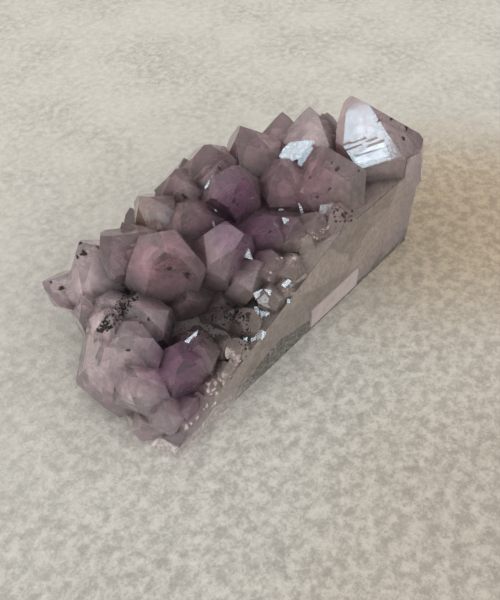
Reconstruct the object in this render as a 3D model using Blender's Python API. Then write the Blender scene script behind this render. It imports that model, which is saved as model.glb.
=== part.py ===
"""Amethyst cluster: a hand specimen with a sawn front face and a flat sawn underside.

A crust of amethyst crystals grows out of pale quartz, which sits on a thin rind of dark rock.
The origin is on the flat underside, +X runs along the sawn face and +Y goes to its back.
"""

import math

import bmesh
import bpy
from mathutils import Vector

MM = 0.001

# Driving dimensions, in millimetres.
FRONT_Y = -22.0  # plane of the sawn face
LEFT_X, RIGHT_X = -48.0, 50.0  # ends of the sawn face along the floor
BACK_Y = 19.0
STONE_TOP = 29.0  # pale quartz at the right of the sawn face
STEP_GAP = 0.3  # left between pieces that touch
FAR = 100.0  # longer than anything that a cutter has to pass through
SNAP = 0.004  # corners closer than this become one

RISE = math.radians(38.2)  # between a quartz end face and the crystal's long axis
MINOR_SET_BACK = 0.12  # every second end face is smaller: set back by this share of the flat distance

RIND_THIN, RIND_THICK = 1.6, 4.6
RIND_LUMP = 3.4  # extra thickness of the lump of rock near the middle of the sawn face
RIND_LUMP_X, RIND_LUMP_WIDTH = -9.0, 9.0
RIND_FADE_X, RIND_FADE = 2.0, 5.0  # where the rind thins towards the right, and over what length
RIND_START_X, RIND_START = -41.0, 2.5  # the same towards the left end
RIND_CELL = 5.0  # spacing of the points of the rind's uneven top

LABEL_LENGTH, LABEL_HEIGHT, LABEL_THICK = 21.0, 6.4, 0.2
LABEL_X, LABEL_Z = 13.4, 4.9  # centre of the paper label on the sawn face

# Pale quartz under the crystals. Each row is a plane that cuts the block:
# a point on it and the direction that is cut away.
STONE_CUTS = (
    ((-20.0, 0.0, 18.5), (-0.42, -0.15, 1.0)),  # top falls towards the left end
    ((-40.0, 0.0, 11.0), (-0.9, -0.1, 1.0)),
    ((6.0, FRONT_Y, 26.5), (-0.42, -0.25, 1.0)),
    ((-48.6, -20.0, 4.0), (-1.0, -0.25, 0.15)),  # left end
    ((-51.0, -14.0, 4.0), (-1.0, 0.10, 0.10)),
    ((-46.0, 2.0, 4.0), (-1.0, 0.45, -0.10)),
    ((-40.0, 14.0, 4.0), (-0.7, 1.0, -0.20)),
    ((0.0, BACK_Y, 8.0), (0.05, 1.0, -0.12)),  # back
    ((30.0, BACK_Y - 1.5, 20.0), (0.25, 1.0, 0.30)),
    ((-15.0, BACK_Y - 1.0, 20.0), (-0.15, 1.0, 0.35)),
    ((RIGHT_X, -10.0, 10.0), (1.0, 0.02, -0.02)),  # right end
    ((RIGHT_X - 1.0, 10.0, 14.0), (1.0, 0.35, 0.10)),
    ((RIGHT_X - 3.0, 0.0, 26.0), (0.8, 0.0, 1.0)),
)

# One row for each crystal: name, tip, lean of the axis (x and y for each unit of height),
# distance from the axis to a flat side, turn of face 0 about the axis in degrees, length,
# reach of single sides as a share of that distance, and how far single end faces are set back.
CRYSTALS = (
    # The large clear crystal at the right end.
    ("giant", (37.0, -6.5, 50.0), (-0.20, 0.05), 11.5, 234, 32,
     {0: 0.97, 1: 1.45, 2: 1.2, 3: 0.42, 4: 0.35, 5: 0.75}, {}),
    # The row of tips along the back edge, from right to left.
    ("back_a", (37.0, 3.0, 41.0), (0.15, 0.15), 4.0, 231, 16, {}, {}),
    ("back_b", (33.5, 5.0, 44.0), (0.25, 0.30), 8.0, 216, 24, {}, {}),
    ("back_c", (31.5, 12.5, 40.0), (0.40, 0.35), 7.0, 229, 22, {}, {}),
    ("back_d", (16.0, 14.0, 43.0), (-0.25, 0.15), 8.5, 241, 26, {3: 0.8, 4: 0.8}, {}),
    ("back_e", (4.0, 17.0, 41.0), (-0.20, -0.05), 7.5, 221, 26, {4: 0.8}, {1: 2.5, 2: 2.5}),
    ("back_f", (5.0, 11.0, 40.0), (0.00, -0.15), 5.0, 241, 24, {}, {}),
    ("back_g", (3.0, 22.5, 36.0), (0.10, 0.20), 5.5, 246, 20, {}, {}),
    ("back_h", (-5.0, 18.5, 38.0), (-0.35, -0.05), 6.5, 211, 24, {}, {1: 1.0}),
    ("back_i", (-15.5, 20.0, 36.0), (-0.40, 0.15), 6.5, 256, 24, {4: 0.6}, {}),
    ("back_j", (-23.5, 18.0, 34.0), (-0.25, 0.30), 6.0, 241, 24, {}, {}),
    ("back_k", (-31.5, 16.5, 36.0), (-0.60, 0.20), 7.5, 246, 27,
     {0: 0.8, 1: 1.2, 3: 0.5, 4: 0.4}, {}),
    # The pale crystals that overhang the left end.
    ("end_a", (-33.0, 23.5, 31.0), (-0.25, 0.25), 9.5, 241, 22, {3: 1.1, 4: 1.4, 5: 1.1}, {}),
    ("end_b", (-42.5, 29.5, 20.0), (-1.10, 0.80), 5.0, 236, 16, {}, {}),
    ("end_c", (-41.5, 13.0, 25.0), (-0.15, -0.05), 4.0, 231, 16, {}, {}),
    ("end_d", (-41.5, 6.5, 28.0), (-0.35, -0.05), 6.5, 246, 20, {}, {}),
    # The large crystals in the middle.
    ("middle_a", (-28.0, -2.0, 40.0), (-0.75, -0.70), 11.8, 241, 26,
     {0: 1.45, 1: 0.85, 2: 0.4, 3: 0.4, 4: 0.65, 5: 1.15}, {}),
    ("middle_b", (-11.5, 7.5, 37.0), (-0.30, -0.10), 7.6, 236, 24, {}, {}),
    ("middle_c", (1.5, 0.5, 42.0), (-0.20, -0.75), 8.2, 259, 26,
     {0: 1.17, 2: 0.7, 3: 0.5, 4: 0.7, 5: 0.75}, {}),
    ("middle_d", (13.0, -2.5, 41.0), (-0.30, -0.10), 7.0, 221, 22, {}, {}),
    ("middle_e", (23.5, -8.0, 43.0), (0.00, 0.00), 11.0, 247, 24, {}, {1: 5.0, 5: 4.0}),
    ("middle_f", (-9.5, -9.5, 37.0), (0.10, -0.75), 10.5, 265, 26,
     {0: 1.3, 3: 0.5, 4: 0.6, 5: 0.8}, {}),
    ("middle_g", (-0.5, -11.5, 34.0), (-0.25, -0.50), 8.0, 221, 22, {3: 0.6}, {}),
    ("middle_h", (-18.5, -10.0, 22.0), (-0.40, -0.35), 6.0, 231, 14, {}, {}),
    ("middle_i", (-25.0, -5.0, 24.0), (-0.70, -0.60), 7.0, 241, 18, {0: 1.1, 1: 1.1, 5: 1.1}, {}),
    # The lower crystals at the front of the left end.
    ("low_a", (-48.5, 0.0, 24.0), (-0.55, -0.20), 9.0, 243, 22, {0: 1.5, 1: 0.9, 4: 1.1, 5: 1.35}, {}),
    ("low_b", (-44.0, -4.0, 28.0), (-0.45, -0.25), 8.0, 231, 22,
     {0: 1.3, 2: 0.5, 3: 0.4, 4: 0.6}, {}),
    ("low_c", (-37.5, 1.0, 28.0), (-0.30, -0.10), 7.0, 241, 20, {}, {}),
    ("low_d", (-38.0, -16.0, 22.0), (-0.40, -0.60), 8.5, 256, 20, {0: 1.2, 3: 0.5}, {}),
    ("low_e", (-48.5, -9.0, 20.0), (-0.50, -0.20), 6.5, 261, 18, {0: 1.1}, {}),
    ("low_f", (-32.5, -15.5, 22.0), (-0.25, -0.35), 5.0, 231, 16, {}, {}),
    ("low_g", (-46.5, -17.0, 12.0), (-0.40, -0.45), 5.0, 221, 12, {}, {}),
    ("low_h", (-50.5, -13.5, 8.0), (-0.60, -0.25), 4.0, 241, 9, {}, {}),
    # Small crystals between the large ones.
    ("between_a", (-8.5, -14.5, 30.0), (0.25, -0.45), 5.0, 255, 16, {}, {}),
    ("between_b", (5.0, -14.5, 34.0), (-0.10, -0.30), 5.0, 228, 16, {}, {}),
    ("between_c", (16.5, -17.0, 33.5), (-0.20, -0.35), 4.5, 262, 14, {}, {0: 0.8}),
    ("between_d", (-43.5, 1.5, 29.0), (-0.10, -0.35), 4.0, 212, 14, {}, {}),
    ("between_e", (23.8, -0.5, 41.5), (-0.20, 0.05), 5.0, 234, 16, {1: 1.3}, {}),
    ("between_f", (14.5, -19.0, 35.5), (-0.20, -0.10), 4.5, 222, 13, {}, {}),
    ("between_g", (10.5, -17.0, 34.5), (0.10, -0.25), 4.0, 247, 13, {}, {}),
    # Small crystals in the hollow, and broken lumps along the top of the sawn face.
    ("hollow_a", (-31.0, -10.5, 18.0), (-0.20, -0.30), 4.0, 250, 12, {}, {}),
    ("hollow_b", (-27.0, -14.0, 18.0), (0.10, -0.30), 4.5, 225, 12, {}, {}),
    ("hollow_c", (-23.5, -17.0, 18.0), (0.20, -0.20), 3.5, 240, 12, {}, {}),
    ("hollow_d", (-21.5, -9.5, 19.5), (-0.30, -0.30), 3.8, 215, 12, {}, {}),
    ("hollow_e", (-18.0, -13.0, 20.5), (0.15, -0.35), 3.6, 255, 12, {}, {0: 0.8}),
    ("hollow_f", (-26.5, -9.5, 17.5), (-0.10, -0.15), 3.4, 235, 12, {}, {1: 0.7}),
    ("lump_a", (-28.0, -20.5, 15.0), (0.10, -0.25), 3.4, 262, 9, {}, {1: 1.2}),
    ("lump_b", (-17.0, -19.5, 23.5), (0.20, -0.35), 3.2, 230, 12, {}, {}),
    ("lump_c", (-6.5, -19.5, 26.5), (-0.15, -0.30), 3.6, 248, 10, {}, {0: 1.0}),
    ("lump_d", (5.5, -17.0, 31.0), (-0.20, -0.30), 3.4, 235, 10, {}, {}),
    ("lump_e", (-1.5, -19.5, 30.5), (0.15, -0.30), 4.2, 205, 12, {}, {0: 0.8}),
    ("lump_f", (-5.5, -17.0, 31.5), (0.00, -0.45), 4.4, 250, 12, {}, {}),
    ("lump_g", (-11.0, -19.0, 26.5), (-0.25, -0.20), 3.6, 215, 11, {}, {1: 0.8}),
    ("lump_h", (-23.0, -20.5, 19.0), (0.10, -0.35), 3.2, 258, 10, {}, {0: 1.0}),
    ("lump_i", (-33.0, -20.0, 13.5), (-0.20, -0.30), 3.8, 236, 9, {}, {}),
    ("lump_j", (-39.0, -19.5, 10.5), (0.10, -0.40), 3.4, 251, 8, {}, {2: 0.8}),
    # The back and the right end, which lean outwards.
    ("rear_a", (-27.0, 28.0, 22.0), (-0.20, 0.90), 6.0, 100, 18, {}, {}),
    ("rear_b", (-12.0, 29.0, 25.0), (0.10, 0.80), 6.5, 85, 20, {}, {}),
    ("rear_c", (2.0, 29.5, 20.0), (-0.10, 1.10), 6.0, 70, 18, {}, {}),
    ("rear_d", (15.0, 28.0, 28.0), (0.10, 0.60), 7.0, 95, 24, {}, {}),
    ("rear_e", (26.0, 28.0, 19.0), (0.20, 1.00), 6.5, 80, 18, {}, {}),
    ("rear_f", (40.0, 21.0, 29.0), (0.40, 0.50), 7.5, 60, 24, {}, {}),
    ("rear_g", (48.0, 9.0, 33.0), (0.35, 0.20), 6.5, 25, 24, {}, {}),
    ("rear_h", (-38.0, 22.0, 12.0), (-0.70, 0.90), 5.0, 120, 14, {}, {}),
)


def collection_named(name, hidden=False):
    """A new collection in the scene."""
    made = bpy.data.collections.new(name)
    made.hide_render = hidden
    bpy.context.scene.collection.children.link(made)
    return made


def material(name, colour, roughness):
    made = bpy.data.materials.new(name)
    made.use_nodes = True
    shader = made.node_tree.nodes["Principled BSDF"]
    shader.inputs["Base Color"].default_value = (*colour, 1.0)
    shader.inputs["Roughness"].default_value = roughness
    shader.inputs["Metallic"].default_value = 0.0
    made.diffuse_color = (*colour, 1.0)
    return made


def object_from(bm, name, collection, finish=None):
    """Turns a bmesh in millimetres into an object in metres."""
    bmesh.ops.scale(bm, vec=(MM, MM, MM), verts=bm.verts)
    bmesh.ops.recalc_face_normals(bm, faces=bm.faces)
    mesh = bpy.data.meshes.new(name)
    bm.to_mesh(mesh)
    bm.free()
    if finish:
        mesh.materials.append(finish)
    made = bpy.data.objects.new(name, mesh)
    collection.objects.link(made)
    return made


def helper_from(bm, name, collection):
    """A cutter, or a crystal before it is joined."""
    made = object_from(bm, name, collection)
    made.hide_render = True
    made.display_type = "WIRE"
    return made


def box(low, high):
    bm = bmesh.new()
    bmesh.ops.create_cube(bm, size=1.0)
    size = [b - a for a, b in zip(low, high)]
    centre = [(a + b) / 2 for a, b in zip(low, high)]
    bmesh.ops.scale(bm, vec=size, verts=bm.verts)
    bmesh.ops.translate(bm, vec=centre, verts=bm.verts)
    return bm


def slice_off(bm, point, outward):
    """Cuts a convex solid with a plane and closes the cut."""
    everything = bm.verts[:] + bm.edges[:] + bm.faces[:]
    bmesh.ops.bisect_plane(
        bm, geom=everything, dist=SNAP, plane_co=point, plane_no=outward, clear_outer=True
    )
    bmesh.ops.remove_doubles(bm, verts=bm.verts, dist=SNAP)
    rim = [edge for edge in bm.edges if edge.is_boundary]
    if rim:
        bmesh.ops.contextual_create(bm, geom=rim)


def side_directions(axis, turn):
    """The six directions of the flat sides, at right angles to the axis."""
    first = (Vector((1.0, 0.0, 0.0)) - axis * axis.x).normalized()
    second = axis.cross(first)
    for k in range(6):
        angle = math.radians(turn + 60.0 * k)
        yield math.cos(angle) * first + math.sin(angle) * second


def quartz_crystal(tip, lean, flat, turn, length, reach, set_back):
    """A six-sided crystal with a six-faced point: a block sliced along its twelve faces."""
    tip = Vector(tip)
    axis = Vector((*lean, 1.0)).normalized()
    bm = box((-FAR, -FAR, -FAR), (FAR, FAR, FAR))
    slice_off(bm, tip - axis * length, -axis)
    for k, side in enumerate(side_directions(axis, turn)):
        end_face = math.cos(RISE) * side + math.sin(RISE) * axis
        usual = MINOR_SET_BACK * flat * (k % 2)
        slice_off(bm, tip + side * flat * reach.get(k, 1.0), side)
        slice_off(bm, tip + end_face * set_back.get(k, usual), end_face)
    return bm


def pale_stone():
    """The block of quartz that the crystals grow from."""
    bm = box((LEFT_X - 8.0, FRONT_Y - 5.0, -5.0), (RIGHT_X + 5.0, BACK_Y + 5.0, STONE_TOP))
    for point, outward in STONE_CUTS:
        slice_off(bm, point, Vector(outward).normalized())
    return bm


def rind_height(x, y):
    """Height of the dark rock's uneven top above the floor."""
    fade = 1.0 / (1.0 + math.exp((x - RIND_FADE_X) / RIND_FADE))
    fade *= 1.0 / (1.0 + math.exp((RIND_START_X - x) / RIND_START))
    lump = math.exp(-(((x - RIND_LUMP_X) / RIND_LUMP_WIDTH) ** 2))
    ripple = 0.5 * math.sin(0.55 * x + 0.2 * y) + 0.4 * math.sin(0.9 * x - 0.35 * y + 1.0)
    height = RIND_THIN + (RIND_THICK - RIND_THIN) * fade + RIND_LUMP * lump
    return height + ripple * (0.35 + 0.65 * fade)


def rind_space(lift):
    """Everything below the rind's top, raised by lift: a gridded sheet pulled down to a slab."""
    bm = bmesh.new()
    half_x, half_y = 65.0, 45.0
    bmesh.ops.create_grid(
        bm,
        x_segments=round(2 * half_x / RIND_CELL),
        y_segments=round(2 * half_y / RIND_CELL / 1.5),
        size=1.0,
    )
    for vert in bm.verts:
        vert.co = Vector((vert.co.x * half_x, vert.co.y * half_y, 0.0))
        vert.co.z = rind_height(vert.co.x, vert.co.y) + lift
    bmesh.ops.triangulate(bm, faces=bm.faces)
    floor = bmesh.ops.extrude_face_region(bm, geom=bm.faces[:])
    for item in floor["geom"]:
        if isinstance(item, bmesh.types.BMVert):
            item.co.z = -30.0
    return bm


def add_boolean(target, name, operation, operand):
    made = target.modifiers.new(name, "BOOLEAN")
    made.operation = operation
    made.solver = "EXACT"
    if isinstance(operand, bpy.types.Collection):
        made.operand_type = "COLLECTION"
        made.collection = operand
    else:
        made.object = operand


def build_crystal_mass(parts, helpers, finish):
    """Stone and crystals joined in one solid, sawn at the front and open to the rind below."""
    crystals = collection_named("crystals before joining", hidden=True)
    for name, tip, lean, flat, turn, length, reach, set_back in CRYSTALS:
        bm = quartz_crystal(tip, lean, flat, turn, length, reach, set_back)
        helper_from(bm, name, crystals)
    saw = box((-FAR, -FAR, -FAR), (FAR, FRONT_Y, FAR))
    front_saw = helper_from(saw, "front_saw", helpers)
    rind_cutter = helper_from(rind_space(STEP_GAP), "rind_cutter", helpers)
    mass = object_from(pale_stone(), "amethyst_crystals", parts, finish)
    add_boolean(mass, "join crystals", "UNION", crystals)
    add_boolean(mass, "saw the front", "DIFFERENCE", front_saw)
    add_boolean(mass, "make room for the rind", "DIFFERENCE", rind_cutter)


def build_rind(parts, helpers, finish):
    """The thin dark rock under the quartz, with the flat face that the specimen rests on."""
    outline = box((LEFT_X - 8.0, FRONT_Y, 0.0), (RIGHT_X + 5.0, BACK_Y + 5.0, STONE_TOP))
    for point, outward in STONE_CUTS:
        slice_off(outline, point, Vector(outward).normalized())
    rind = object_from(outline, "basalt_rind", parts, finish)
    keep = helper_from(rind_space(0.0), "rind_keeper", helpers)
    add_boolean(rind, "keep below the uneven top", "INTERSECT", keep)


def build_label(parts, finish):
    """The small paper label stuck on the sawn face."""
    half = (LABEL_LENGTH / 2, LABEL_THICK / 2, LABEL_HEIGHT / 2)
    centre = (LABEL_X, FRONT_Y - STEP_GAP - LABEL_THICK / 2, LABEL_Z)
    low = [c - h for c, h in zip(centre, half)]
    high = [c + h for c, h in zip(centre, half)]
    object_from(box(low, high), "paper_label", parts, finish)


def build():
    for old in list(bpy.data.objects):
        bpy.data.objects.remove(old)
    parts = collection_named("amethyst cluster")
    helpers = collection_named("cutters", hidden=True)
    build_crystal_mass(parts, helpers, material("amethyst", (0.33, 0.22, 0.36), 0.08))
    build_rind(parts, helpers, material("dark basalt", (0.10, 0.10, 0.09), 0.75))
    build_label(parts, material("label paper", (0.78, 0.77, 0.76), 0.65))


build()
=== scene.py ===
"""Looks of the amethyst cluster: clear and cloudy quartz, dark specks, rock, paper, floor and light."""
import math
import random

import bmesh
import bpy
import numpy as np
from mathutils import Matrix, Vector
from mathutils.bvhtree import BVHTree
from mathutils.kdtree import KDTree


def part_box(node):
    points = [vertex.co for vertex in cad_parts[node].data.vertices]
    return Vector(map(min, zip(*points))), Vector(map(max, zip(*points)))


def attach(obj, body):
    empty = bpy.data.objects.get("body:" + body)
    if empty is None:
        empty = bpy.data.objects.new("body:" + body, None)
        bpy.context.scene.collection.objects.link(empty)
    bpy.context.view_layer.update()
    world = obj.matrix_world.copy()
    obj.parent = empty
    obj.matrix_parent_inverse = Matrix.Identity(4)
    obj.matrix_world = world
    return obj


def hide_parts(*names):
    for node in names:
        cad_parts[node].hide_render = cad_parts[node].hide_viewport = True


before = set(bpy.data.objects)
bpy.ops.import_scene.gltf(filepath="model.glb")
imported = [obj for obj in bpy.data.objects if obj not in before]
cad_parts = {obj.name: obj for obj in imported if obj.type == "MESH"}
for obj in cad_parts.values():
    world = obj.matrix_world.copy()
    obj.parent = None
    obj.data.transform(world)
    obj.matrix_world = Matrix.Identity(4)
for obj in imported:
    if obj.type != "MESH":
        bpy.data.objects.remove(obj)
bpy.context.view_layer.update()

MM = 0.001
SEED = 7
QUARTZ_IOR, CRACK_IOR, BROKEN_IOR = 1.54, 1.6, 1.7
CLEAR_SHARE, SAWN_SHARE = 0.84, 0.5  # of the light that goes through a grown and through a sawn face
SAWN_SHADE = 0.56  # how much darker a sawn face is coloured
CLOUD_VOXEL = 0.5  # mm
# Painted shade in crevices: rays cast from each point, how far they reach, and the share of colour lost at
# the bottom of a crevice.
CREVICE_RAYS, CREVICE_REACH, CREVICE_SHADE = 40, 14.0, 0.92  # reach in mm
MERGE_WITHIN, FLAT_WITHIN = 0.03, 1.0  # mm and degrees, when the CAD's triangles are joined to faces
WORN_WIDTH, WORN_ANGLE = 0.18, 12.0  # worn edges: mm, and the sharpest angle in degrees left alone
LONGEST_EDGE, SPLIT_ROUNDS = 2.5, 4  # mm
SAWN_WITHIN = 0.05  # mm behind the sawn plane that still count as sawn
SPECK_DEPTH, SPECK_GRAINS = 0.03, 9  # mm under the surface, and grains in each
STEP_ROOT = 1.5  # mm that a growth step reaches into the crystal
SHEET_HALF = 0.04  # half the thickness of a fracture, in mm
LUMP_POINTS = 8

# The camera, in metres, placed where the photograph was taken from.
CAMERA_AT = Vector((-0.106416, -0.095303, 0.157547))
CAMERA_LOOKS_AT = Vector((0.000806, -0.002424, 0.0))
LENS, SENSOR = 45.0, 36.0
PHOTO_WIDTH, PHOTO_HEIGHT = 500, 600

# Directions that light comes from: azimuth from +X and elevation, in degrees.
ROOM_FROM = (-128, 35)  # the bright side of the room
SKY_FROM = (112, 48)  # what the upper faces mirror
KEY_FROM = (150, 50)
WINDOW_FROM = (-119.2, 28.6)
WINDOW_DISTANCE = 1.0
LIGHTS_AIM_AT = Vector((0.0, 0.0, 0.03))

FRONT_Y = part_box("amethyst_crystals")[0][1]  # plane of the sawn face

# Colours that the quartz has in broad parts of the specimen.
CLEAR, SMOKY, ROSY = (0.95, 0.78, 0.78), (0.50, 0.36, 0.37), (0.60, 0.35, 0.40)
# HOLLOW is near black partly for the hollow's dark crystals and partly as painted shade of its depth.
PLUM, PALE, HOLLOW = (0.30, 0.12, 0.24), (0.90, 0.76, 0.78), (0.03, 0.01, 0.02)
AMBER, STONE = (0.80, 0.52, 0.30), (0.60, 0.46, 0.38)
# Parts of the specimen: centre and reach in mm, colour.
ZONES = (
    ((37, -6, 38), 14, CLEAR),  # the large crystal at the right end
    ((20, 13, 38), 14, SMOKY),  # the row of tips at the back
    ((-10, 19, 34), 14, SMOKY),
    ((-16, 19, 32), 5, AMBER),
    ((17, -5, 38), 11, ROSY),  # the large crystals in the middle
    ((-2, -3, 36), 11, PLUM),
    ((-28, -2, 36), 11, ROSY),
    ((-38, 26, 25), 9, PALE),  # the left end
    ((-47, 3, 22), 12, PALE),
    ((-39, -14, 17), 10, PLUM),
    ((-49, -12, 12), 8, PALE),
    ((-23, -12, 17), 8, HOLLOW),  # the dark hollow: its dark crystals, and painted shade for a hollow deeper than the model's surface
    ((-22, -22, 10), 13, STONE),  # the sawn face
    ((4, -22, 16), 14, STONE),
    ((28, -22, 22), 14, STONE),
)
PLAIN_TONE = (0.44, 0.34, 0.37)  # colour of the quartz away from all of them
PLAIN_SHARE = 0.04  # its weight, where the middle of a zone has 1

# Black inclusions: place in the photo, width and height in mm.
SPECKS = (
    (170, 268, 1.3, 1.2), (188, 273, 1.2, 3.0), (185, 298, 0.9, 0.7), (234, 200, 1.2, 1.4),
    (238, 204, 0.9, 0.9), (229, 207, 0.6, 0.6), (332, 163, 0.7, 0.7), (337, 169, 1.3, 1.0),
    (359, 171, 0.8, 0.7), (310, 178, 0.6, 0.8), (330, 189, 0.9, 0.8), (317, 197, 0.8, 0.8),
    (270, 231, 0.8, 1.0), (184, 195, 1.1, 1.8), (83, 253, 2.2, 1.0), (78, 257, 0.9, 0.9),
    (51, 282, 0.8, 0.6), (62, 288, 1.7, 1.2), (128, 350, 1.0, 0.8), (149, 319, 1.0, 0.8),
    (140, 323, 0.8, 0.6), (136, 317, 0.5, 0.5), (379, 121, 0.9, 0.8), (391, 120, 1.2, 1.0),
    (406, 129, 0.9, 1.4), (403, 139, 1.2, 1.0), (219, 167, 1.0, 0.9), (80, 243, 1.2, 0.5),
    (228, 310, 2.2, 2.0), (248, 316, 1.8, 1.4), (128, 293, 2.0, 1.6), (122, 306, 2.4, 1.4),
    (108, 327, 2.2, 1.2), (100, 330, 1.6, 1.2),
)

# Patches of small crystals: outline in the photo, how many, smallest and largest radius in mm, colour.
BLACK, BROWN = (0.02, 0.015, 0.02), (0.10, 0.06, 0.05)
SMALL_POINTS = (
    (((97, 326), (112, 306), (122, 296), (136, 300), (126, 314), (108, 332)), 150, 0.08, 0.28, BLACK),
    (((120, 292), (132, 288), (140, 300), (124, 304)), 50, 0.08, 0.3, BLACK),
    (
        ((222, 300), (240, 306), (252, 320), (248, 348), (238, 345), (240, 325), (222, 316)),
        130, 0.08, 0.25, BLACK,
    ),
    (
        ((165, 328), (192, 318), (215, 306), (232, 306), (240, 340), (205, 345), (178, 338)),
        120, 0.08, 0.24, BLACK,
    ),
    (((330, 205), (356, 212), (350, 222), (334, 222)), 24, 0.12, 0.4, BROWN),
)

# Broken quartz: outline in the photo, how many lumps, smallest and largest radius in mm, colour.
PINK, BEIGE = (0.60, 0.46, 0.47), (0.66, 0.56, 0.53)
RUBBLE = (
    (((262, 266), (300, 250), (304, 258), (268, 280)), 8, 0.4, 0.9, PINK),
    (((228, 354), (252, 343), (258, 350), (232, 370)), 22, 0.8, 1.9, BEIGE),
    (((205, 388), (228, 370), (232, 378), (212, 398)), 14, 0.8, 1.7, BEIGE),
    (((272, 292), (300, 270), (304, 278), (276, 308)), 6, 0.3, 0.8, PINK),
    (((310, 232), (330, 226), (332, 238), (314, 243)), 16, 0.3, 0.9, PINK),
    (((182, 430), (205, 404), (212, 408), (190, 436)), 14, 0.4, 1.3, BEIGE),
)

# Growth steps on a face: outline in the photo, how thick in mm, and how many degrees it is turned.
STEPS = (
    (((367, 148), (386, 141), (391, 156), (360, 165), (352, 158)), 0.25, 1.0),
    (((343, 144), (350, 141), (351, 142.5), (344, 146)), 0.2, 6.0),
    (((348, 143.5), (366, 137), (366, 139), (349, 145)), 0.25, 7.0),
    (((346, 149.5), (362, 143.5), (362, 145), (347, 151)), 0.2, 6.0),
    (((367, 145.5), (384, 139.5), (384.5, 141.5), (368, 147.5)), 0.3, 7.0),
    (((366, 141), (377, 136.5), (378, 138.5), (367, 142.5)), 0.3, 8.0),
    (((356, 155.5), (388, 146), (388, 147), (357, 157)), 0.3, 5.0),
)

# Fractures inside the quartz: outline in the photo, how many, smallest and largest radius in mm,
# deepest in mm, colour.
ROSE, CREAM, MAUVE = (0.60, 0.38, 0.41), (0.90, 0.80, 0.78), (0.60, 0.44, 0.54)
FRACTURES = (
    (((258, 266), (300, 247), (308, 262), (266, 288)), 26, 0.6, 2.2, 1.2, ROSE),
    (((270, 262), (298, 252), (300, 258), (275, 274)), 9, 0.3, 0.9, 0.3, CREAM),
    (((276, 288), (300, 272), (304, 280), (280, 300)), 12, 0.3, 1.2, 0.5, CREAM),
    (((150, 255), (190, 255), (196, 290), (160, 296)), 9, 1.2, 3.0, 3.0, ROSE),
    (((280, 180), (335, 160), (345, 185), (300, 205)), 9, 1.0, 2.6, 2.5, ROSE),
    (((225, 190), (252, 190), (250, 225), (225, 225)), 7, 1.0, 2.4, 2.5, MAUVE),
    (((230, 255), (260, 255), (260, 300), (232, 300)), 7, 1.0, 2.4, 2.5, MAUVE),
    (((372, 105), (412, 118), (415, 160), (385, 150)), 9, 1.0, 2.6, 3.0, MAUVE),
    (((310, 232), (345, 222), (340, 240), (314, 243)), 12, 0.3, 0.8, 0.4, CREAM),
    (((182, 430), (250, 350), (262, 352), (200, 432)), 30, 0.5, 1.6, 1.0, CREAM),
    (((60, 245), (98, 240), (100, 275), (60, 275)), 7, 1.0, 2.4, 2.5, CREAM),
)

# Bright facets that mirror the window: outline in the photo, how many degrees each is turned
# away from the perfect mirror direction, and how far it stands out in mm.
BRIGHT_FACETS = (
    (
        ((279, 156), (283, 149), (290, 142), (313, 140), (315, 143), (304, 150), (301, 158), (283, 164)),
        0, 1.4,
    ),
    (((181, 344), (198, 330), (195, 341), (188, 344)), 0, 0.25),
    (((246, 240), (253, 260), (243, 257)), 3, 0.25),
    (((281, 200), (285, 213), (277, 216)), 3, 0.25),
    (((282, 217), (289, 219), (290, 226), (284, 225)), 2, 0.25),
    (((297, 198), (300, 202), (304, 213), (301, 214)), 3, 0.25),
    (((214, 205), (216, 204), (218, 218), (215, 215)), 1, 0.25),
    (((212, 222), (214, 221), (217, 233), (215, 231)), 1, 0.25),
    (((204, 188), (212, 175), (214, 177), (206, 189)), 1, 0.25),
    (((320, 205), (336, 203), (327, 222), (318, 220)), 6, 0.25),
    (((253, 293), (262, 289), (265, 292), (256, 300)), 2, 0.25),
    (((257, 300), (266, 293), (270, 296), (268, 303), (259, 304)), 9, 0.35),
    (((264, 289), (272, 290), (270, 296)), 0, 0.25),
    (((254, 307), (259, 305), (262, 325), (256, 317)), 3, 0.25),
    (((259, 305), (264, 306), (266, 321), (262, 325)), 10, 0.30),
    (((264, 307), (269, 309), (270, 316), (266, 320)), 1, 0.25),
    (((260, 303), (268, 304), (270, 308), (263, 306)), 12, 0.40),
    (((244, 334), (248, 330), (247, 344), (243, 344)), 3, 0.25),
    (((251, 337), (257, 333), (256, 341), (251, 344)), 2, 0.25),
    (((257, 332), (262, 329), (262, 337), (257, 341)), 10, 0.35),
    (((262, 330), (266, 332), (264, 338), (261, 340)), 1, 0.25),
    (((281, 285), (288, 279), (292, 281), (285, 288)), 2, 0.25),
    (((289, 280), (297, 281), (290, 289), (286, 288)), 10, 0.30),
    (((287, 299), (290, 299), (290, 303), (287, 303)), 0, 0.25),
    (((354, 164), (390, 157), (391, 159), (356, 167)), 1, 0.25),
)


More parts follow.
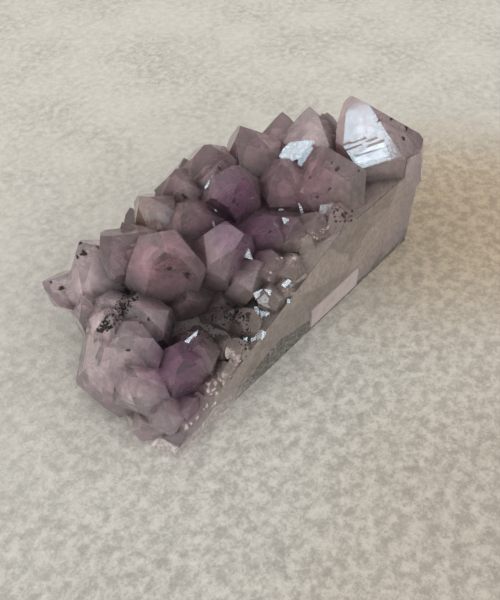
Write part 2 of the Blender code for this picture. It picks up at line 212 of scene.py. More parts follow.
class Shader:
    """A material's node tree, with short ways to add and join nodes."""

    def __init__(self, name):
        self.material = bpy.data.materials.new(name)
        self.material.use_nodes = True
        self.tree = self.material.node_tree
        self.surface = self.tree.nodes["Principled BSDF"]
        self.place = self.add("ShaderNodeTexCoord").outputs["Object"]

    def add(self, kind, **values):
        node = self.tree.nodes.new(kind)
        for key, value in values.items():
            setattr(node, key, value)
        return node

    def put(self, socket, value):
        if isinstance(value, bpy.types.NodeSocket):
            self.tree.links.new(value, socket)
        elif isinstance(value, tuple) and len(value) == 3 and socket.type == "RGBA":
            socket.default_value = (*value, 1.0)
        else:
            socket.default_value = value

    def set(self, **values):
        for key, value in values.items():
            self.put(self.surface.inputs[key.replace("_", " ")], value)

    def noise(self, size_mm, detail=3.0, rough=0.55, distortion=0.0, shift=0.0):
        """Noise from 0 to 1 with features of about size_mm."""
        node = self.add("ShaderNodeTexNoise")
        moved = self.add("ShaderNodeVectorMath", operation="ADD")
        self.put(moved.inputs[0], self.place)
        moved.inputs[1].default_value = (shift, 0.7 * shift, 0.3 * shift)
        self.put(node.inputs["Vector"], moved.outputs[0])
        node.inputs["Scale"].default_value = 1.0 / (size_mm * MM)
        node.inputs["Detail"].default_value = detail
        node.inputs["Roughness"].default_value = rough
        node.inputs["Distortion"].default_value = distortion
        return node.outputs["Fac"]

    def tone(self):
        return self.add("ShaderNodeAttribute", attribute_name="tone").outputs["Color"]

    def scaled(self, colour, factor):
        node = self.add("ShaderNodeVectorMath", operation="SCALE")
        self.put(node.inputs[0], colour)
        self.put(node.inputs["Scale"], factor)
        return node.outputs[0]

    def bent_place(self, by_mm):
        """Places shifted by a slow noise, so that cells get uneven sides."""
        if by_mm == 0.0:
            return self.place
        node = self.add("ShaderNodeTexNoise")
        self.put(node.inputs["Vector"], self.place)
        node.inputs["Scale"].default_value = 1.0 / (6.0 * MM)
        shift = self.scaled(node.outputs["Color"], by_mm * MM)
        moved = self.add("ShaderNodeVectorMath", operation="ADD")
        self.put(moved.inputs[0], self.place)
        self.put(moved.inputs[1], shift)
        return moved.outputs[0]

    def cells(self, size_mm, feature="F1", bent_mm=0.0):
        node = self.add("ShaderNodeTexVoronoi", feature=feature)
        self.put(node.inputs["Vector"], self.bent_place(bent_mm))
        node.inputs["Scale"].default_value = 1.0 / (size_mm * MM)
        return node.outputs["Distance"]

    def grain(self, size_mm, bent_mm=0.0):
        """A number that differs from one grain to the next."""
        node = self.add("ShaderNodeTexVoronoi")
        self.put(node.inputs["Vector"], self.bent_place(bent_mm))
        node.inputs["Scale"].default_value = 1.0 / (size_mm * MM)
        split = self.add("ShaderNodeSeparateColor")
        self.put(split.inputs[0], node.outputs["Color"])
        return split.outputs[0]

    def ramp(self, value, low, high, to_low=0.0, to_high=1.0):
        node = self.add("ShaderNodeMapRange", interpolation_type="SMOOTHSTEP")
        self.put(node.inputs["Value"], value)
        for name, number in zip(("From Min", "From Max", "To Min", "To Max"), (low, high, to_low, to_high)):
            node.inputs[name].default_value = number
        return node.outputs["Result"]

    def math(self, operation, a, b):
        node = self.add("ShaderNodeMath", operation=operation)
        self.put(node.inputs[0], a)
        self.put(node.inputs[1], b)
        return node.outputs[0]

    def mix(self, share, a, b):
        node = self.add("ShaderNodeMix", data_type="RGBA")
        self.put(node.inputs["Factor"], share)
        self.put(node.inputs["A"], a)
        self.put(node.inputs["B"], b)
        return node.outputs["Result"]

    def near(self, centre_mm, radii_mm, soft=0.5):
        """1 inside an ellipsoid, falling to 0 outside it."""
        moved = self.add("ShaderNodeVectorMath", operation="SUBTRACT")
        self.put(moved.inputs[0], self.place)
        moved.inputs[1].default_value = Vector(centre_mm) * MM
        scaled = self.add("ShaderNodeVectorMath", operation="DIVIDE")
        self.put(scaled.inputs[0], moved.outputs[0])
        scaled.inputs[1].default_value = Vector(radii_mm) * MM
        length = self.add("ShaderNodeVectorMath", operation="LENGTH")
        self.put(length.inputs[0], scaled.outputs[0])
        return self.ramp(length.outputs["Value"], 1.0 - soft, 1.0 + soft, 1.0, 0.0)

    def bump(self, height, distance_mm, strength=1.0):
        node = self.add("ShaderNodeBump")
        node.inputs["Strength"].default_value = strength
        node.inputs["Distance"].default_value = distance_mm * MM
        self.put(node.inputs["Height"], height)
        self.put(self.surface.inputs["Normal"], node.outputs["Normal"])


def new_piece(name, bm, material):
    """Turns a bmesh in metres into a piece that rides on the specimen."""
    mesh = bpy.data.meshes.new(name)
    bm.to_mesh(mesh)
    bm.free()
    piece = bpy.data.objects.new(name, mesh)
    bpy.context.scene.collection.objects.link(piece)
    return dress(piece, material)


def dress(piece, material):
    piece.data.materials.clear()
    piece.data.materials.append(material)
    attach(piece, "root")
    return piece


def copy_of(node, name):
    """A new object with a copy of a CAD node's mesh."""
    piece = bpy.data.objects.new(name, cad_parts[node].data.copy())
    bpy.context.scene.collection.objects.link(piece)
    return piece


def apply_modifiers(piece):
    graph = bpy.context.evaluated_depsgraph_get()
    mesh = bpy.data.meshes.new_from_object(piece.evaluated_get(graph))
    piece.modifiers.clear()
    piece.data = mesh


def direction(azimuth, elevation):
    a, e = math.radians(azimuth), math.radians(elevation)
    return Vector((math.cos(e) * math.cos(a), math.cos(e) * math.sin(a), math.sin(e)))


def window_place():
    return LIGHTS_AIM_AT + direction(*WINDOW_FROM) * WINDOW_DISTANCE


def camera_axes():
    ahead = (CAMERA_LOOKS_AT - CAMERA_AT).normalized()
    right = ahead.cross(Vector((0.0, 0.0, 1.0))).normalized()
    return ahead, right, right.cross(ahead)


def photo_ray(x, y):
    """Direction from the camera through a point of the photo."""
    ahead, right, up = camera_axes()
    per_pixel = SENSOR / LENS / max(PHOTO_WIDTH, PHOTO_HEIGHT)
    across = (x - PHOTO_WIDTH / 2) * per_pixel
    upward = (PHOTO_HEIGHT / 2 - y) * per_pixel
    return (ahead + across * right + upward * up).normalized()


def build_camera():
    camera = bpy.data.cameras.new("camera")
    camera.lens = LENS
    camera.sensor_width = SENSOR
    camera.clip_start = 0.01
    holder = bpy.data.objects.new("camera", camera)
    holder.location = CAMERA_AT
    ahead, right, up = camera_axes()
    holder.rotation_euler = Matrix((right, up, -ahead)).transposed().to_euler()
    bpy.context.scene.collection.objects.link(holder)
    bpy.context.scene.camera = holder


def soft_box(name, source, distance, size, power, colour):
    light = bpy.data.lights.new(name, "AREA")
    light.shape = "RECTANGLE"
    light.size, light.size_y = size
    light.energy = power
    light.color = colour
    holder = bpy.data.objects.new(name, light)
    toward = direction(*source)
    holder.location = LIGHTS_AIM_AT + toward * distance
    holder.rotation_euler = toward.to_track_quat("Z", "Y").to_euler()
    bpy.context.scene.collection.objects.link(holder)
    return holder


def world_strength(tree, source, low, high):
    """A strength that rises smoothly toward one side of the room."""
    place = tree.nodes.new("ShaderNodeTexCoord")
    toward = tree.nodes.new("ShaderNodeVectorMath")
    toward.operation = "DOT_PRODUCT"
    toward.inputs[1].default_value = direction(*source)
    tree.links.new(place.outputs["Generated"], toward.inputs[0])
    fade = tree.nodes.new("ShaderNodeMapRange")
    fade.interpolation_type = "SMOOTHSTEP"
    tree.links.new(toward.outputs["Value"], fade.inputs["Value"])
    for name, number in zip(("From Min", "From Max", "To Min", "To Max"), (-0.5, 1.0, low, high)):
        fade.inputs[name].default_value = number
    return fade.outputs["Result"]


def build_light():
    world = bpy.data.worlds.new("studio")
    world.use_nodes = True
    tree = world.node_tree
    background = tree.nodes["Background"]
    ray = tree.nodes.new("ShaderNodeLightPath")
    strength = tree.nodes.new("ShaderNodeMix")
    tree.links.new(ray.outputs["Is Glossy Ray"], strength.inputs["Factor"])
    tree.links.new(world_strength(tree, ROOM_FROM, 0.75, 1.55), strength.inputs["A"])
    tree.links.new(world_strength(tree, SKY_FROM, 0.10, 0.5), strength.inputs["B"])
    tree.links.new(strength.outputs["Result"], background.inputs["Strength"])
    background.inputs["Color"].default_value = (1.0, 0.975, 0.95, 1.0)
    bpy.context.scene.world = world
    key = soft_box("key", KEY_FROM, 0.7, (0.4, 0.4), 1.0, (1.0, 0.98, 0.95))
    key.visible_glossy = False
    soft_box("window", WINDOW_FROM, WINDOW_DISTANCE, (0.18, 0.14), 0.85, (0.62, 0.86, 1.0))
    bpy.context.scene.view_settings.view_transform = "Standard"


def build_floor():
    bm = bmesh.new()
    bmesh.ops.create_grid(bm, x_segments=8, y_segments=8, size=4.0)
    mesh = bpy.data.meshes.new("floor")
    bm.to_mesh(mesh)
    bm.free()
    floor = bpy.data.objects.new("floor", mesh)
    bpy.context.scene.collection.objects.link(floor)
    felt = Shader("pale felt")
    large = felt.noise(30.0, 2.0)
    fine = felt.noise(2.6, 5.0, 0.7)
    base = felt.mix(felt.ramp(large, 0.3, 0.7), (0.34, 0.325, 0.295), (0.46, 0.45, 0.41))
    near_side = felt.near((-40, -90, 0), (110, 110, 50), 0.8)
    base = felt.mix(felt.ramp(fine, 0.3, 0.7), base, (0.52, 0.505, 0.46))
    # painted shadow on the floor to the right of the specimen, tinted brown as by light through the quartz
    painted_shadow = felt.math("MULTIPLY", felt.near((0, -100, 0), (80, 45, 50), 0.6), 0.5)
    painted_shadow = felt.math("MAXIMUM", painted_shadow, felt.near((68, -30, 0), (45, 40, 50), 0.7))
    base = felt.mix(felt.math("MULTIPLY", painted_shadow, 0.9), base, (0.33, 0.25, 0.155))
    dim = felt.near((-60, -60, 0), (120, 120, 50), 0.9)
    base = felt.mix(felt.math("MULTIPLY", dim, 0.45), base, (0.30, 0.29, 0.27))
    tufts = felt.ramp(felt.noise(3.2, 6.0, 0.8), 0.40, 0.60, -0.5, 0.5)
    contrast = felt.ramp(felt.math("MAXIMUM", near_side, painted_shadow), 0.0, 1.0, 0.08, 0.40)
    base = felt.scaled(base, felt.math("ADD", felt.math("MULTIPLY", tufts, contrast), 1.0))
    felt.set(Base_Color=base, Roughness=0.95)
    felt.bump(fine, 0.8, 0.8)
    mesh.materials.append(felt.material)


def tone_places():
    """Centre, reach and colour of each zone, in metres."""
    for centre, reach, colour in ZONES:
        yield np.array(centre) * MM, reach * MM, np.array(colour)


def crevices(piece):
    """A function that says how shut in the nearest surface is: 0 in the open, 1 deep in a crevice."""
    bm = bmesh.new()
    bm.from_mesh(piece.data)
    tree = BVHTree.FromBMesh(bm)
    lookup = KDTree(len(bm.verts))
    turn = math.pi * (3.0 - math.sqrt(5.0))
    ways = []
    for k in range(CREVICE_RAYS):
        z = 1.0 - 2.0 * (k + 0.5) / CREVICE_RAYS
        flat = math.sqrt(1.0 - z * z)
        ways.append(Vector((flat * math.cos(turn * k), flat * math.sin(turn * k), z)))
    shut = []
    for vert in bm.verts:
        lookup.insert(vert.co, vert.index)
        seen = blocked = 0
        for way in ways:
            if way.dot(vert.normal) > 0.2:
                seen += 1
                hit = tree.ray_cast(vert.co + vert.normal * 0.3 * MM, way, CREVICE_REACH * MM)
                if hit[0] is not None:
                    blocked += 1 - hit[3] / (CREVICE_REACH * MM)
        shut.append(blocked / max(seen, 1))
    lookup.balance()
    bm.free()
    return lambda place: shut[lookup.find(place)[1]]


def paint_tones(piece, tones, shut_in):
    """Stores a smooth blend of the tones in the colour attribute that the shaders read, darkened in
    crevices as painted shade.
    """
    mesh = piece.data
    places = np.empty(len(mesh.vertices) * 3)
    mesh.vertices.foreach_get("co", places)
    places = places.reshape(-1, 3)
    total = np.full((len(places), 1), PLAIN_SHARE)
    colours = total * np.array(PLAIN_TONE)
    for centre, radius, colour in tones:
        away = np.linalg.norm(places - centre, axis=1, keepdims=True) / radius
        share = np.exp(-2.0 * away**2)
        total += share
        colours += share * colour
    # painted shade: the colour darkens the more a point is shut in by the crystals around it
    closed = [min(1.0, max(0.0, 2.0 * shut_in(place) - 0.3)) for place in places]
    shade = np.array([[1.0 - CREVICE_SHADE * share] for share in closed])
    colours = np.concatenate([colours / total * shade, np.ones((len(places), 1))], axis=1)
    tone = mesh.color_attributes.new("tone", "FLOAT_COLOR", "POINT")
    tone.data.foreach_set("color", colours.ravel())


def split_long_edges(bm, longest):
    """More points on large faces, so that they can carry a smooth blend of tones."""
    for _ in range(SPLIT_ROUNDS):
        bmesh.ops.triangulate(bm, faces=bm.faces)
        long = [edge for edge in bm.edges if edge.calc_length() > longest]
        if long:
            bmesh.ops.subdivide_edges(bm, edges=long, cuts=1)
    bmesh.ops.triangulate(bm, faces=bm.faces)


def quartz_tone(shader):
    """The tone of the quartz at a place, lighter, and a little different from face to face."""
    light = shader.add("ShaderNodeGamma")
    shader.put(light.inputs["Color"], shader.tone())
    light.inputs["Gamma"].default_value = 0.62
    facet = shader.add("ShaderNodeAttribute", attribute_name="facet").outputs["Fac"]
    return shader.scaled(light.outputs["Color"], shader.math("ADD", facet, 1.0)), facet


def amethyst_material(name, clear, solid):
    """Purple quartz with natural, slightly uneven faces. clear is the share of light that goes
    through it, and solid adds the colour of its depth."""
    quartz = Shader(name)
    tone, facet = quartz_tone(quartz)
    patches = quartz.ramp(quartz.noise(7.0, 4.0, 0.6, 0.8), 0.35, 0.65, 0.0, 0.35)
    dull = quartz.ramp(quartz.noise(5.0, 4.0), 0.45, 0.75, 0.0, 0.08)
    wisps = quartz.ramp(quartz.noise(1.8, 5.0, 0.7), 0.32, 0.68, 0.88, 1.14)
    colour = quartz.scaled(quartz.mix(patches, tone, quartz.scaled(tone, 1.35)), wisps)
    depth = quartz.add("ShaderNodeSeparateXYZ")
    quartz.put(depth.inputs[0], quartz.place)
    sawn = quartz.ramp(depth.outputs["Y"], FRONT_Y + 0.3 * MM, FRONT_Y + 0.1 * MM)
    seams = quartz.ramp(quartz.cells(17.0, "DISTANCE_TO_EDGE", 3.0), 0.0, 0.03, 0.86, 1.0)
    grains = quartz.ramp(quartz.grain(17.0, 3.0), 0.1, 0.9, 0.84, 1.14)
    sugar = quartz.ramp(quartz.noise(0.9, 5.0, 0.8), 0.35, 0.65, 0.84, 1.14)
    cut = quartz.scaled(colour, quartz.math("MULTIPLY", quartz.math("MULTIPLY", seams, grains), sugar))
    cut = quartz.scaled(cut, SAWN_SHADE)
    crust = quartz.ramp(quartz.tone(), 0.03, 0.12, 0.55, 0.0)
    dull = quartz.math("ADD", dull, quartz.ramp(facet, 0.0, 0.3, 0.03, 0.16))
    dull = quartz.math("MAXIMUM", dull, crust)
    quartz.set(
        Base_Color=quartz.mix(sawn, colour, cut),
        Roughness=quartz.math("MAXIMUM", dull, quartz.math("MULTIPLY", sawn, 0.42)),
        IOR=QUARTZ_IOR,
        Transmission_Weight=clear,
    )
    uneven = quartz.math("MULTIPLY", quartz.noise(4.0, 3.0, 0.5, 0.3), 0.5)
    pits = quartz.math("MULTIPLY", quartz.noise(0.8, 4.0, 0.7), sawn)
    quartz.bump(quartz.math("ADD", uneven, pits), 0.05, 0.4)
    if solid:
        absorb = quartz.add("ShaderNodeVolumeAbsorption")
        absorb.inputs["Color"].default_value = (0.86, 0.58, 0.68, 1.0)
        absorb.inputs["Density"].default_value = 50.0
        output = quartz.tree.nodes["Material Output"]
        quartz.tree.links.new(absorb.outputs["Volume"], output.inputs["Volume"])
    return quartz.material


def edge_material():
    """The worn edges between crystal faces, rougher, and a little paler as a painted highlight along the
    ridges.
    """
    edge = Shader("worn crystal edge with painted highlight")
    tone, _ = quartz_tone(edge)
    edge.set(
        # the paler colour is a painted highlight along the ridges
        Base_Color=edge.mix(0.35, tone, (0.95, 0.88, 0.90)),
        Roughness=edge.ramp(edge.noise(2.0, 3.0), 0.3, 0.7, 0.12, 0.4),
        IOR=QUARTZ_IOR,
        Transmission_Weight=0.55,
    )
    return edge.material


def cloud_material(name, cover, shift):
    """Cloudy quartz inside the crystals. cover is how much of it is there: 1 is a full body."""
    cloud = Shader(name)
    light = cloud.add("ShaderNodeGamma")
    cloud.put(light.inputs["Color"], cloud.tone())
    light.inputs["Gamma"].default_value = 0.5
    patches = cloud.ramp(cloud.noise(7.0, 3.0, 0.5, 0.2, shift), 0.36, 0.66, 0.82, 1.18)
    wisps = cloud.ramp(cloud.noise(2.2, 4.0, 0.65, 0.0, shift), 0.32, 0.68, 0.76, 1.26)
    colour = cloud.scaled(light.outputs["Color"], cloud.math("MULTIPLY", patches, wisps))
    veins = cloud.ramp(cloud.noise(5.0, 3.0, 0.6, 1.0, shift), 0.54, 0.70)
    colour = cloud.mix(cloud.math("MULTIPLY", veins, 0.3), colour, (0.85, 0.68, 0.70))
    cloud.set(Base_Color=colour, Roughness=0.6)
    if cover < 1.0:
        gaps = cloud.noise(6.0, 3.0, 0.5, 0.2, 3.0 + shift)
        gaps = cloud.ramp(gaps, 0.58 - 0.3 * cover, 0.86 - 0.3 * cover)
        cloud.set(Alpha=cloud.math("MULTIPLY", gaps, 0.75))
    return cloud.material


def depth_shell(depth_mm):
    """Geometry nodes that keep the surface lying depth_mm inside a closed mesh."""
    group = bpy.data.node_groups.new("surface at depth", "GeometryNodeTree")
    group.interface.new_socket("Geometry", in_out="INPUT", socket_type="NodeSocketGeometry")
    group.interface.new_socket("Geometry", in_out="OUTPUT", socket_type="NodeSocketGeometry")
    start = group.nodes.new("NodeGroupInput")
    fill = group.nodes.new("GeometryNodeMeshToVolume")
    fill.resolution_mode = "VOXEL_SIZE"
    fill.inputs["Density"].default_value = 1.0
    fill.inputs["Voxel Size"].default_value = CLOUD_VOXEL * MM
    fill.inputs["Interior Band Width"].default_value = 2 * depth_mm * MM
    skin = group.nodes.new("GeometryNodeVolumeToMesh")
    skin.resolution_mode = "VOXEL_SIZE"
    skin.inputs["Voxel Size"].default_value = CLOUD_VOXEL * MM
    skin.inputs["Threshold"].default_value = 0.5
    end = group.nodes.new("NodeGroupOutput")
    group.links.new(start.outputs[0], fill.inputs["Mesh"])
    group.links.new(fill.outputs["Volume"], skin.inputs["Volume"])
    group.links.new(skin.outputs["Mesh"], end.inputs[0])
    return group


def build_cloud(name, depth_mm, cover, shift, tones, shut_in):
    """The crystal faces repeated at some depth, as cloudy quartz under the clear outer layer."""
    cloud = copy_of("amethyst_crystals", name)
    shell = cloud.modifiers.new("at depth", "NODES")
    shell.node_group = depth_shell(depth_mm)
    thin_out = cloud.modifiers.new("fewer triangles", "DECIMATE")
    thin_out.ratio = 0.3
    apply_modifiers(cloud)
    paint_tones(cloud, tones, shut_in)
    return dress(cloud, cloud_material(name, cover, shift))


def build_crystals():
    crystals = copy_of("amethyst_crystals", "crystals")
    bm = bmesh.new()
    bm.from_mesh(crystals.data)
    bmesh.ops.remove_doubles(bm, verts=bm.verts, dist=MERGE_WITHIN * MM)
    flat = math.radians(FLAT_WITHIN)
    bmesh.ops.dissolve_limit(bm, angle_limit=flat, verts=bm.verts, edges=bm.edges)
    rng = random.Random(SEED)
    facet = bm.faces.layers.float.new("facet")
    for face in bm.faces:
        face[facet] = rng.uniform(-0.2, 0.3)
    bm.to_mesh(crystals.data)
    bm.free()
    bevel = crystals.modifiers.new("worn edges", "BEVEL")
    bevel.width = WORN_WIDTH * MM
    bevel.segments = 2
    bevel.material = 1
    crystals.data.materials.clear()
    crystals.data.materials.append(amethyst_material("clear amethyst", CLEAR_SHARE, True))
    crystals.data.materials.append(edge_material())
    crystals.data.materials.append(amethyst_material("sawn amethyst", SAWN_SHARE, True))
    bevel.limit_method = "ANGLE"
    bevel.angle_limit = math.radians(WORN_ANGLE)
    apply_modifiers(crystals)
    bm = bmesh.new()
    bm.from_mesh(crystals.data)
    split_long_edges(bm, LONGEST_EDGE * MM)
    for face in bm.faces:
        if max(vert.co.y for vert in face.verts) < FRONT_Y + SAWN_WITHIN * MM:
            face.material_index = 2
    bm.to_mesh(crystals.data)
    bm.free()
    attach(crystals, "root")
    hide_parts("amethyst_crystals")
    return crystals


def surface_finder(piece):
    """A function that gives the point and normal of the piece's surface at a point of the photo."""
    bm = bmesh.new()
    bm.from_mesh(piece.data)
    tree = BVHTree.FromBMesh(bm)
    bm.free()

    def find(x, y):
        ray = photo_ray(x, y)
        point, normal, _, _ = tree.ray_cast(CAMERA_AT, ray)
        return point, normal, ray

    return find


def speck_material():
    dark = Shader("black inclusion")
    dark.set(
        Base_Color=dark.mix(dark.noise(0.6), (0.012, 0.008, 0.006), (0.05, 0.03, 0.02)),
        Roughness=0.45,
    )
    return dark.material


def build_specks(find):
    """Small dark crystals shut in just under the surface."""
    rng = random.Random(SEED)
    _, right, up = camera_axes()
    bm = bmesh.new()
    for x, y, width, height in SPECKS:
        point, normal, ray = find(x, y)
        if point is None:
            continue
        centre = point + ray * SPECK_DEPTH * MM
        for _ in range(SPECK_GRAINS):
            spread_x, spread_y = rng.uniform(-0.35, 0.35) * width, rng.uniform(-0.4, 0.4) * height
            made = bmesh.ops.create_icosphere(bm, subdivisions=1, radius=1.0)
            size = Vector([rng.uniform(0.16, 0.34) * wide for wide in (width, width, height)])
            turn = Matrix.Rotation(rng.uniform(0, 3.1), 3, (rng.uniform(-1, 1), rng.uniform(-1, 1), 1))
            for vert in made["verts"]:
                local = turn @ Vector([c * s for c, s in zip(vert.co, size)])
                vert.co = centre + (local + right * spread_x + up * spread_y) * MM
    return new_piece("specks", bm, speck_material())


def splinter_material():
    """Freshly broken quartz, which mirrors more than a grown face."""
    splinter = Shader("broken quartz")
    pale = splinter.ramp(splinter.noise(0.8), 0.35, 0.65)
    splinter.set(
        Base_Color=splinter.mix(pale, (0.66, 0.60, 0.64), (0.97, 0.95, 0.97)),
        Roughness=splinter.ramp(splinter.noise(0.8), 0.3, 0.7, 0.04, 0.25),
        IOR=BROKEN_IOR,
        Transmission_Weight=0.7,
    )
    splinter.bump(splinter.noise(0.9, 4.0, 0.6, 1.0), 0.06, 0.6)
    return splinter.material


def build_bright_facets(find):
    """Small faces turned so that they mirror the window, each the front of a splinter set in the quartz."""
    rng = random.Random(SEED)
    bm = bmesh.new()
    for outline, turned, proud in BRIGHT_FACETS:
        middle = [sum(c) / len(outline) for c in zip(*outline)]
        point, _, ray = find(*middle)
        if point is None:
            continue
        facing = (window_place() - point).normalized() - ray
        tilt = Vector((rng.uniform(-1, 1), rng.uniform(-1, 1), rng.uniform(-1, 1))).normalized()
        facing = (facing.normalized() + tilt * math.radians(turned)).normalized()
        front = []
        for x, y in outline:
            along = photo_ray(x, y)
            reach = (point - ray * proud * MM - CAMERA_AT).dot(facing) / along.dot(facing)
            front.append(CAMERA_AT + along * reach)
        centre = sum(front, Vector()) / len(front)
        size = max((corner - centre).length for corner in front)
        back = [centre + (corner - centre) * 0.7 + ray * (0.6 * MM + 0.9 * size) for corner in front]
        rim = [bm.verts.new(corner) for corner in front]
        root = [bm.verts.new(corner) for corner in back]
        bm.faces.new(rim)
        bm.faces.new(reversed(root))
        for i in range(len(rim)):
            j = (i + 1) % len(rim)
            bm.faces.new((rim[j], rim[i], root[i], root[j]))
    bmesh.ops.recalc_face_normals(bm, faces=bm.faces)
    return new_piece("bright_facets", bm, splinter_material())


def build_steps(find, tones, shut_in):
    """Thin plates of later growth on the faces."""
    rng = random.Random(SEED)
    bm = bmesh.new()
    for outline, thick, turned in STEPS:
        middle = [sum(c) / len(outline) for c in zip(*outline)]
        point, normal, _ = find(*middle)
        tilt = Vector((rng.uniform(-1, 1), rng.uniform(-1, 1), rng.uniform(-1, 1))).normalized()
        facing = (normal + tilt * math.radians(turned)).normalized()
        top = []
        for x, y in outline:
            along = photo_ray(x, y)
            reach = (point + normal * thick * MM - CAMERA_AT).dot(facing) / along.dot(facing)
            top.append(CAMERA_AT + along * reach)
        rim = [bm.verts.new(corner) for corner in top]
        root = [bm.verts.new(corner - normal * STEP_ROOT * MM) for corner in top]
        bm.faces.new(rim)
        bm.faces.new(reversed(root))
        for i in range(len(rim)):
            j = (i + 1) % len(rim)
            bm.faces.new((rim[j], rim[i], root[i], root[j]))
    bmesh.ops.recalc_face_normals(bm, faces=bm.faces)
    material = amethyst_material("growth step", CLEAR_SHARE, False)
    steps = new_piece("growth_steps", bm, material)
    paint_tones(steps, tones, shut_in)
    return steps


def fracture_material():
    """Thin cracks, which show as paler and darker sheets in the quartz."""
    crack = Shader("fracture in quartz")
    crack.set(
        Base_Color=crack.scaled(crack.tone(), crack.ramp(crack.noise(1.0, 4.0), 0.35, 0.65, 0.5, 1.3)),
        Roughness=crack.ramp(crack.noise(0.8), 0.3, 0.7, 0.1, 0.4),
        IOR=CRACK_IOR,
        Transmission_Weight=0.5,
    )
    return crack.material


def build_fractures(find):
    """Thin uneven sheets, set at all angles inside the crystals."""
    rng = random.Random(SEED + 2)
    bm = bmesh.new()
    layer = bm.loops.layers.float_color.new("tone")
    for outline, count, smallest, largest, deepest, colour in FRACTURES:
        for point, normal in scatter(find, outline, count, rng):
            radius = rng.uniform(smallest, largest) * MM
            lean = Vector((rng.uniform(-1, 1), rng.uniform(-1, 1), rng.uniform(-1, 1)))
            facing = (normal + 0.6 * lean).normalized()
            centre = point - normal * (rng.uniform(0.15, 1.0) * deepest * MM + 0.3 * radius)
            spin = facing.to_track_quat("Z", "Y").to_matrix()
            sides = rng.randint(5, 8)
            start = rng.uniform(0, 6)
            rim = []
            for k in range(sides):
                angle = start + 2 * math.pi * k / sides
                out = radius * rng.uniform(0.4, 1.0)
                lift = rng.uniform(-0.1, 0.1) * radius
                rim.append(Vector((math.cos(angle) * out, math.sin(angle) * out * 0.6, lift)))
            before = len(bm.faces)
            half = Vector((0, 0, SHEET_HALF * MM))
            upper = [bm.verts.new(centre + spin @ (corner + half)) for corner in rim]
            lower = [bm.verts.new(centre + spin @ (corner - half)) for corner in rim]
            bm.faces.new(upper)
            bm.faces.new(reversed(lower))
            for i in range(sides):
                j = (i + 1) % sides
                bm.faces.new((upper[j], upper[i], lower[i], lower[j]))
            bm.faces.ensure_lookup_table()
            store_tone(bm.faces[before:], layer, colour)
    return new_piece("fractures", bm, fracture_material())


def inside(outline, x, y):
    """True if a point lies in a convex or simple outline."""
    hit = False
    for (x1, y1), (x2, y2) in zip(outline, outline[1:] + outline[:1]):
        if (y1 > y) != (y2 > y) and x < (x2 - x1) * (y - y1) / (y2 - y1) + x1:
            hit = not hit
    return hit


def scatter(find, outline, count, rng):
    """Random places on the surface under an outline in the photo."""
    xs, ys = zip(*outline)
    left = count
    while left:
        x, y = rng.uniform(min(xs), max(xs)), rng.uniform(min(ys), max(ys))
        if not inside(outline, x, y):
            continue
        left -= 1
        point, normal, _ = find(x, y)
        if point is not None:
            yield point, normal


def small_point(bm, point, axis, radius, turn):
    """A six-sided prism with a six-faced tip."""
    height = radius * 1.4
    rings = ((-1.2, 1.0), (height / radius, 1.0))
    spin = axis.to_track_quat("Z", "Y").to_matrix()
    corners = []
    for level, wide in rings:
        for k in range(6):
            angle = turn + math.pi / 3 * k
            place = Vector((math.cos(angle) * wide, math.sin(angle) * wide, level)) * radius
            corners.append(bm.verts.new(point + spin @ place))
    tip = bm.verts.new(point + axis * (height + 1.05 * radius))
    bm.faces.new(corners[5::-1])
    for k in range(6):
        n = (k + 1) % 6
        bm.faces.new((corners[k], corners[n], corners[6 + n], corners[6 + k]))
        bm.faces.new((corners[6 + k], corners[6 + n], tip))


def store_tone(bm_faces, layer, colour):
    for face in bm_faces:
        for loop in face.loops:
            loop[layer] = (*colour, 1.0)


def small_crystal_material():
    small = Shader("small crystals")
    small.set(
        Base_Color=small.scaled(small.tone(), small.ramp(small.noise(1.5), 0.3, 0.7, 0.6, 1.5)),
        Roughness=small.ramp(small.noise(1.0), 0.3, 0.7, 0.05, 0.25),
        IOR=QUARTZ_IOR,
        Transmission_Weight=0.5,
    )
    return small.material


def build_small_points(find):
    """Crusts of small crystals in the gaps between the large ones."""
    rng = random.Random(SEED)
    bm = bmesh.new()
    layer = bm.loops.layers.float_color.new("tone")
    for outline, count, smallest, largest, colour in SMALL_POINTS:
        for point, normal in scatter(find, outline, count, rng):
            lean = Vector((rng.uniform(-1, 1), rng.uniform(-1, 1), rng.uniform(0, 1)))
            axis = (normal + 0.55 * lean).normalized()
            radius = rng.uniform(smallest, largest) * MM
            before = len(bm.faces)
            small_point(bm, point - axis * radius, axis, radius, rng.uniform(0, 1))
            bm.faces.ensure_lookup_table()
            store_tone(bm.faces[before:], layer, colour)
    return new_piece("small_points", bm, small_crystal_material())


def build_rubble(find):
    """Angular lumps of broken quartz along the top edge of the sawn face."""
    rng = random.Random(SEED + 1)
    bm = bmesh.new()
    layer = bm.loops.layers.float_color.new("tone")
    for outline, count, smallest, largest, colour in RUBBLE:
        for point, normal in scatter(find, outline, count, rng):
            radius = rng.uniform(smallest, largest) * MM
            centre = point - normal * radius * rng.uniform(0.2, 0.7)
            lump = bmesh.new()
            for _ in range(LUMP_POINTS):
                out = Vector([rng.gauss(0, 1) for _ in range(3)]).normalized()
                lump.verts.new(centre + out * radius * rng.uniform(0.8, 1.0))
            bmesh.ops.convex_hull(lump, input=lump.verts)
            loose = [vert for vert in lump.verts if not vert.link_faces]
            bmesh.ops.delete(lump, geom=loose, context="VERTS")
            corners = {vert: bm.verts.new(vert.co) for vert in lump.verts}
            made = [bm.faces.new([corners[vert] for vert in face.verts]) for face in lump.faces]
            store_tone(made, layer, colour)
            lump.free()
    bmesh.ops.recalc_face_normals(bm, faces=bm.faces)
    for vert in bm.verts:
        vert.co.y = max(vert.co.y, FRONT_Y)
    return new_piece("broken_quartz", bm, small_crystal_material())


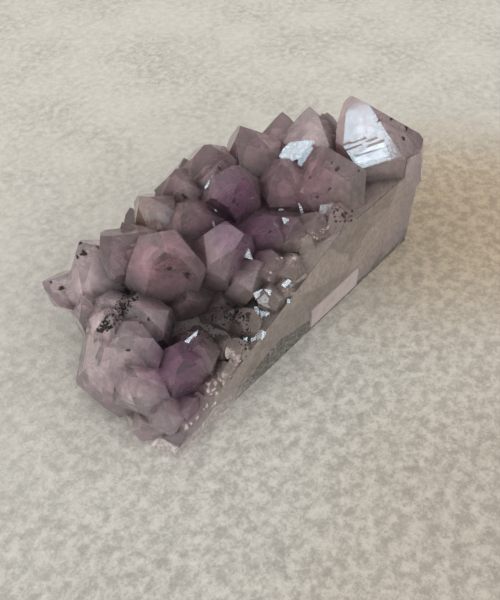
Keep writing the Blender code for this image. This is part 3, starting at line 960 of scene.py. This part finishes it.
def rock_material():
    rock = Shader("dark rock")
    grains = rock.ramp(rock.noise(1.1, 5.0, 0.75), 0.36, 0.66)
    patches = rock.ramp(rock.noise(4.5, 3.0), 0.4, 0.62)
    colour = rock.mix(grains, (0.045, 0.04, 0.037), (0.36, 0.32, 0.29))
    colour = rock.mix(rock.math("MULTIPLY", patches, 0.5), colour, (0.09, 0.09, 0.075))
    pale = rock.ramp(rock.cells(1.3), 0.16, 0.05)
    colour = rock.mix(rock.math("MULTIPLY", pale, 0.7), colour, (0.55, 0.53, 0.46))
    corner = rock.near((-46, -22, 0), (20, 20, 12), 0.5)
    pink = rock.mix(grains, (0.36, 0.30, 0.29), (0.66, 0.58, 0.56))
    colour = rock.mix(rock.math("MULTIPLY", corner, 0.8), colour, pink)
    rock.set(Base_Color=colour, Roughness=rock.ramp(grains, 0.0, 1.0, 0.55, 0.85))
    rock.bump(grains, 0.25, 0.8)
    return rock.material


def build_rind():
    rind = copy_of("basalt_rind", "rock_rind")
    for vert in rind.data.vertices:
        if vert.co.z > 0.5 * MM:
            vert.co.z += 0.3 * MM
    dress(rind, rock_material())
    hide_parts("basalt_rind")
    return rind


def paper_material():
    paper = Shader("worn paper")
    soiled = paper.ramp(paper.noise(3.0, 5.0, 0.65), 0.45, 0.75)
    paper.set(Base_Color=paper.mix(soiled, (0.43, 0.36, 0.35), (0.33, 0.27, 0.255)), Roughness=0.7)
    paper.bump(paper.noise(0.35, 4.0), 0.04, 0.6)
    return paper.material


def build_label():
    low, high = (Vector(corner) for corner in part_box("paper_label"))
    bm = bmesh.new()
    bmesh.ops.create_cube(bm, size=1.0)
    for vert in bm.verts:
        vert.co = Vector([low[i] if vert.co[i] < 0 else high[i] for i in range(3)])
        if vert.co.y > (low.y + high.y) / 2:
            vert.co.y = FRONT_Y
    label = new_piece("label", bm, paper_material())
    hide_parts("paper_label")
    return label


def build():
    build_camera()
    build_light()
    build_floor()
    crystals = build_crystals()
    find = surface_finder(crystals)
    tones = list(tone_places())
    shut_in = crevices(crystals)
    paint_tones(crystals, tones, shut_in)
    build_cloud("cloud_outer", 2.4, 0.4, 0.2, tones, shut_in)
    build_cloud("cloud_core", 4.4, 1.0, 0.3, tones, shut_in)
    build_specks(find)
    build_bright_facets(find)
    build_steps(find, tones, shut_in)
    build_fractures(find)
    build_small_points(find)
    build_rubble(find)
    build_rind()
    build_label()


build()
